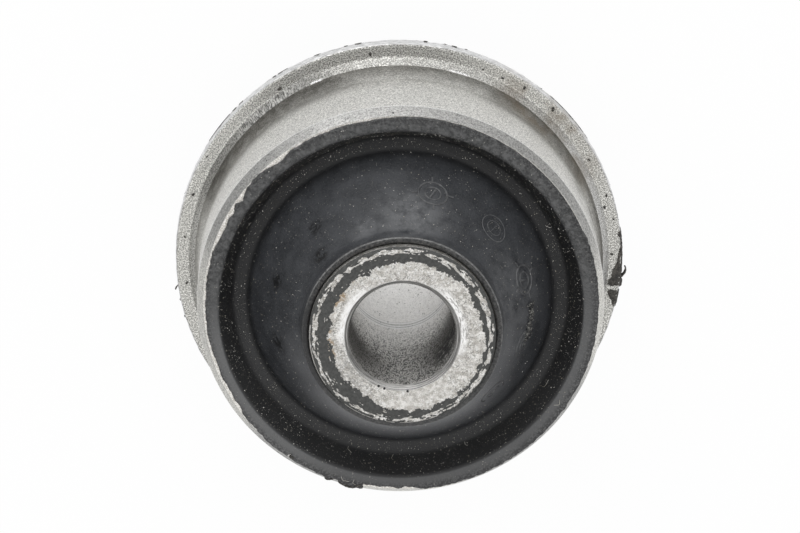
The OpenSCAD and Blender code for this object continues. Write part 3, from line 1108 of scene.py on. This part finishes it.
def end_face_colour(here, blotch, grain, strokes):
    """The end face: pale and grainy, rubbed at two sides of the hole, rusty along the film. Also gives the rubbing."""
    face = blend(blotch, (0.60, 0.575, 0.53, 1), (0.98, 0.96, 0.925, 1))
    worn = ramp(cloud(here.p, 1.1, 3, 0.6), 0.4, 0.6, 0.35, 1.0)
    plain = here.near(place(-80, 9.6, LENGTH), 6.5, 2.5)
    dark_grain = both(ramp(grain, 0.45, 1.0), worn, ramp(plain, 0, 1, 0.85, 0.4))
    face = blend(dark_grain, face, (0.27, 0.26, 0.24, 1))
    scraped = both(here.near(place(-142, 8.9, LENGTH), 4.2, 1.5), strokes)
    face = blend(scaled(scraped, 0.7), face, (0.30, 0.295, 0.285, 1))
    flecks = ramp(cloud(here.p, 2.6, 4, 0.75), 0.56, 0.61)
    face = blend(scaled(flecks, 0.9), face, (1.0, 0.995, 0.98, 1))
    bright_sides = either(here.near(place(155, 8.0, LENGTH), 5.8, 2.5), here.near(place(15, 8.6, LENGTH), 7.0, 3.0))
    rubbed = both(ramp(here.r, 9.0, 8.2), bright_sides, ramp(strokes, 0.1, 0.6, 0.5, 1.0))
    face = blend(rubbed, face, (1.0, 0.995, 0.985, 1))
    scores = both(ramp(here.r, 9.8, 8.2), here.near(place(15, 8.6, LENGTH), 6.0, 2.0), ramp(strokes, 0.35, 0.1))
    face = blend(scaled(scores, 0.75), face, (0.30, 0.29, 0.28, 1))
    along_film = both(here.near(place(160, 10.0, LENGTH), 7.5, 3.5), band(here.r, 9.2, 9.8, 10.2, 10.6))
    rust_spots = either(*[here.near(place(turn, 9.75, LENGTH), 0.9, 0.3) for turn in (143, -168, -176)])
    rust = either(
        both(along_film, ramp(cloud(here.p, 1.3, 3), 0.53, 0.6)),
        both(rust_spots, ramp(cloud(here.p, 2.2, 3), 0.4, 0.52)),
    )
    return blend(scaled(rust, 0.75), face, (0.40, 0.275, 0.15, 1)), rubbed


def bore_colour(here):
    """The hole's wall: painted light far down, speckled towards the front, with turned rings painted as highlights and
    painted shade beside them. Also gives its black flecks, and its dirt together with its painted shade.
    """
    stretch = {"Vector": here.p, "Rotation": (0.25, 0.2, 0), "Scale": (1, 1, 0.42)}
    along_bore = add(here.tree, "Mapping", stretch).outputs[0]
    # painted light: paler far down, where light comes in through the hole's far end
    bore = blend(ramp(here.z, 19, 42), (1.0, 0.99, 0.97, 1), (0.66, 0.65, 0.625, 1))
    speckle = both(ramp(cloud(along_bore, 4.3, 3, 0.8), 0.47, 0.55), ramp(here.z, 20, 38, 0.16, 0.95))
    bore = blend(speckle, bore, (0.05, 0.048, 0.044, 1))
    # painted shade in a band round the turned rings
    bore = blend(scaled(band(here.z, 20.9, 21.5, 22.2, 23.0), 0.42), bore, grey(0.38, 0.02))
    # turned rings in the hole, drawn as painted highlights
    ring_highlights = either(*[band(here.z, z - 0.3, z - 0.1, z + 0.1, z + 0.3) for z in (20.9, 22.0, 22.85)])
    bore = blend(scaled(ring_highlights, 0.9), bore, grey(1.0))
    # painted shadows beside the turned rings
    ring_shadows = either(*[band(here.z, z - 0.2, z - 0.1, z + 0.1, z + 0.2) for z in (20.5, 21.45, 22.4)])
    bore = blend(scaled(ring_shadows, 0.2), bore, grey(0.16, 0.02))
    shade = either(here.near(place(-14, BORE_R, 36), 10.0, 2.0), here.near(place(190, BORE_R, 39), 9.0, 3.0))
    bore = blend(scaled(shade, 0.8), bore, (0.10, 0.093, 0.085, 1))
    stain = both(here.near(place(-27, BORE_R, 40.5), 6.5, 2.0), ramp(cloud(here.p, 0.9, 4, 0.7), 0.38, 0.5))
    bore = blend(scaled(stain, 0.9), bore, (0.02, 0.02, 0.02, 1))
    flecks = either(dots(along_bore, 1.7, 0.22, 0.35), dots(along_bore, 3.2, 0.38, 0.5))
    bore = blend(both(flecks, ramp(here.z, 18, 34, 0.5, 1.0)), bore, grey(0.02))
    # the last value holds dirt together with the painted shade
    return bore, flecks, either(scaled(shade, 0.6), stain, flecks)


def worn_bolt_steel():
    """Pale dull steel, rubbed bright round the hole and speckled in it, with three pits by the hole's edge."""
    material, shader, here = finish("worn_bolt_steel")
    in_bore = ramp(here.r, 7.18, 7.12)
    on_chamfer = both(ramp(here.r, 7.85, 7.72), ramp(here.z, 44.9, 45.15))
    blotch = ramp(cloud(here.p, 1.0, 5, 0.8), 0.4, 0.6)
    grain = ramp(cloud(here.p, 4.8, 3, 0.8), 0.44, 0.58)
    strokes = ramp(cloud(here.round_and_round(9, 5.0, 2.0), 1.0, 4, 0.7), 0.38, 0.62)
    rings = ramp(cloud(here.round_and_round(1.2, 11.0, 4.0), 1.0, 3, 0.7), 0.4, 0.6)
    face, rubbed = end_face_colour(here, blotch, grain, strokes)
    face = blend(on_chamfer, face, blend(rings, (0.20, 0.195, 0.19, 1), (0.80, 0.79, 0.77, 1)))
    bore, flecks, dirt_and_shade = bore_colour(here)
    colour = blend(in_bore, face, bore)
    pit_places = ((-116.7, 7.75), (-110.5, 7.8), (-87.5, 7.85))
    pits = either(*[here.near(place(turn, radius, 45.98), 0.22, 0.12) for turn, radius in pit_places])
    colour = blend(pits, colour, grey(0.03))
    # dirt and painted shade in the hole: less metallic and rougher there
    dirt_and_shade = both(in_bore, dirt_and_shade)
    rough = sums(ramp(strokes, 0, 1, 0.32, 0.44), sums(scaled(in_bore, 0.06), scaled(dirt_and_shade, 0.3)))
    drive(shader, Base_Color=colour, Metallic=ramp(dirt_and_shade, 0, 1, 0.92, 0.15), Roughness=rough)
    unrubbed_grain = both(grain, ramp(rubbed, 1, 0))
    strokes_by_hole = both(strokes, ramp(here.r, 10, 8.5))
    bump(shader, (blotch, 0.02), (unrubbed_grain, 0.025), (strokes_by_hole, 0.02), (both(flecks, in_bore), -0.05))
    return material


def flaked_film():
    """The dark film on the bolt sleeve's end: dull grey with a green cast."""
    material, shader, here = finish("flaked_film", Roughness=0.55)
    mottle = ramp(cloud(here.p, 2.0, 4, 0.65), 0.35, 0.65)
    colour = blend(mottle, (0.036, 0.037, 0.0355, 1), (0.066, 0.067, 0.064, 1))
    scratched = ramp(cloud(here.p, 5.5, 3, 0.7), 0.6, 0.7)
    drive(shader, Base_Color=blend(scaled(scratched, 0.5), colour, (0.17, 0.168, 0.158, 1)))
    bump(shader, (mottle, 0.03), (cloud(here.p, 6.0, 2), 0.02))
    return material


# ---------------------------------------------------------------- the finishes of torn rubber, marks and dust


def torn_finish():
    """Torn rubber on the edges: dark brown-grey and dull, with pale spots that are partly rubbed rubber and partly
    painted highlight.
    """
    material, shader, here = finish("torn_rubber_finish", Roughness=0.62)
    mottle = ramp(cloud(here.p, 1.6, 4, 0.65), 0.35, 0.65)
    colour = blend(mottle, (0.026, 0.0245, 0.022, 1), (0.085, 0.078, 0.069, 1))
    # pale spots: partly rubbed rubber, partly painted highlight
    pale_marks_and_highlight = ramp(cloud(here.p, 3.4, 4, 0.7), 0.56, 0.66)
    drive(shader, Base_Color=blend(scaled(pale_marks_and_highlight, 0.65), colour, (0.24, 0.225, 0.195, 1)))
    bump(shader, (mottle, 0.08), (cloud(here.p, 5.0, 3), 0.03))
    return material


def scuffed_finish():
    """The scuffed strip on the cone: rubber with pale spots, partly dust and partly painted highlight."""
    material, shader, here = finish("scuffed_rubber", Roughness=0.5)
    # pale spots: partly dust, partly painted highlight
    pale_marks_and_highlight = ramp(cloud(here.p, 2.4, 3), 0.4, 0.66)
    drive(shader, Base_Color=blend(pale_marks_and_highlight, (0.02, 0.0205, 0.022, 1), (0.22, 0.215, 0.20, 1)))
    bump(shader, (cloud(here.p, 5.0, 3), 0.03))
    return material


def mark_finish():
    """The raised mould marks: the cone's rubber, a little dustier."""
    material, shader, here = finish("mould_mark_rubber", Roughness=0.46)
    mottle = ramp(cloud(here.p, 1.2, 3), 0.35, 0.65)
    drive(shader, Base_Color=blend(mottle, (0.055, 0.056, 0.059, 1), (0.105, 0.107, 0.11, 1)))
    bump(shader, (cloud(here.p, 4.0, 3), 0.02))
    return material


def dust_finish():
    """Dust grains and fibres: off-white to tan."""
    material, shader, here = finish("pale_dust", Roughness=0.85)
    tone = ramp(cloud(here.p, 0.45, 2), 0.35, 0.65)
    drive(shader, Base_Color=blend(tone, (0.42, 0.39, 0.32, 1), (0.80, 0.78, 0.73, 1)))
    bump(shader, (cloud(here.p, 9.0, 2), 0.02))
    return material


def give(piece, material):
    piece.data.materials.clear()
    piece.data.materials.append(material)


# ---------------------------------------------------------------- finished, brought to metres and put onto the frame

pale_dust = dust_finish()
# piece, finish, the record's material slot
DRESSED = [
    (flanged_sleeve, blasted_steel(), "outer_sleeve"),
    (bonded_rubber, dusty_rubber(), "rubber_body"),
    (bolt_sleeve, worn_bolt_steel(), "inner_sleeve"),
    (film, flaked_film(), "inner_sleeve"),
    (mould_marks, mark_finish(), "rubber_body"),
    (scuff, scuffed_finish(), "rubber_body"),
    (torn_rubber, torn_finish(), "rubber_body"),
    (dust, pale_dust, "rubber_body"),
    (fibres, pale_dust, "rubber_body"),
]
for piece, material, slot in DRESSED:
    give(piece, material)
    piece.data.transform(Matrix.Scale(MM, 4))
    piece.data.update()
    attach(piece, "root")
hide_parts("outer_sleeve")
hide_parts("rubber_body")
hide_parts("inner_sleeve")

# ---------------------------------------------------------------- floor, light and camera

# The floor stays this far below the bush, in mm, so that the two faces don't lie in one plane
FLOOR_GAP = 0.05

bpy.ops.mesh.primitive_plane_add(size=6, location=(0, 0, -FLOOR_GAP * MM))
floor = named("floor")


def white_floor():
    """White to the camera; to metal that mirrors it, a painted glow, bright near the bush, towards +Y and at one side,
    fading further out. A little plain white in it keeps the shadow.
    """
    plain_white = (0.88, 0.88, 0.88, 1)
    material, shader, here = finish("white_floor", Base_Color=plain_white, Roughness=0.9, Specular_IOR_Level=0.0)
    path = add(here.tree, "LightPath", {})
    camera_ray = path.outputs["Is Camera Ray"]
    # painted light: how brightly the floor glows for metal that mirrors it
    painted_glow = either(
        ramp(here.r, 60, 140, 0.95, 0.25),
        ramp(here.out_y, 0.72, 0.93, 0.0, 0.95),
        scaled(here.near((100, -25, 0), 110, 60), 0.95),
    )
    glow = add(here.tree, "Emission", {"Color": (1, 1, 1, 1), "Strength": either(camera_ray, painted_glow)})
    seen = either(camera_ray, path.outputs["Is Glossy Ray"], path.outputs["Is Transmission Ray"])
    mixed = add(here.tree, "MixShader", {0: scaled(seen, 0.96), 1: shader.outputs[0], 2: glow.outputs[0]})
    here.tree.links.new(mixed.outputs[0], here.tree.nodes["Material Output"].inputs[0])
    return material


give(floor, white_floor())

scene = bpy.context.scene
scene.view_settings.view_transform = "Standard"
world = bpy.data.worlds.new("white_tent")
scene.world = world
world.use_nodes = True
tent = world.node_tree
backdrop = tent.nodes["Background"]
direction = add(tent, "SeparateXYZ", {0: add(tent, "TexCoord", {}).outputs["Generated"]})
front_panel = ramp(direction.outputs[1], 0.6, 0.9)
sides = ramp(front_panel, 0, 1, 0.24, 1.05)
overhead = ramp(direction.outputs[2], 0.2, 0.65)
tent_level = sums(both(sides, ramp(overhead, 1, 0)), overhead)
ray = add(tent, "LightPath", {})
backdrop.inputs["Color"].default_value = (1, 1, 1, 1)
tent.links.new(either(ray.outputs["Is Camera Ray"], tent_level), backdrop.inputs["Strength"])


def softbox(name, spot, size, power):
    """A square lamp at a spot in metres, turned to the middle of the bush."""
    lamp = bpy.data.lights.new(name, "AREA")
    lamp.size = size
    lamp.energy = power
    box = bpy.data.objects.new(name, lamp)
    scene.collection.objects.link(box)
    aim = Vector((0, 0, 0.025)) - Vector(spot)
    box.rotation_euler = aim.to_track_quat("-Z", "Y").to_euler()
    box.location = spot


softbox("top_light", (-0.1, 0.58, 0.28), 0.4, 1.5)

# The camera looks along the axis from a little above it, leaning a touch
TILT, LEAN = math.radians(18.63), math.radians(2.66)
DISTANCE = 600.0
PIXELS_PER_MM = 7.535
PHOTO_WIDTH = 800
SENSOR_WIDTH = 36
# The middle of the front end in the photograph, in pixels from its centre, to the right and down
OFFSET = (2.43, 69.43)
tilted = Vector((0, math.cos(TILT), -math.sin(TILT)))
right = Vector((1, 0, 0)) * math.cos(LEAN) - tilted * math.sin(LEAN)
up = Vector((1, 0, 0)) * math.sin(LEAN) + tilted * math.cos(LEAN)
back = Vector((0, math.sin(TILT), math.cos(TILT)))
aim = Vector((0, 0, LENGTH)) - right * (OFFSET[0] / PIXELS_PER_MM) + up * (OFFSET[1] / PIXELS_PER_MM)
view = bpy.data.cameras.new("photo_view")
view.sensor_fit = "HORIZONTAL"
view.sensor_width = SENSOR_WIDTH
view.lens = PIXELS_PER_MM * DISTANCE / PHOTO_WIDTH * SENSOR_WIDTH
camera = bpy.data.objects.new("photo_view", view)
scene.collection.objects.link(camera)
stand = Matrix.Translation((aim + back * DISTANCE) * MM)
camera.matrix_world = stand @ Matrix((right, up, back)).transposed().to_4x4()
scene.camera = camera
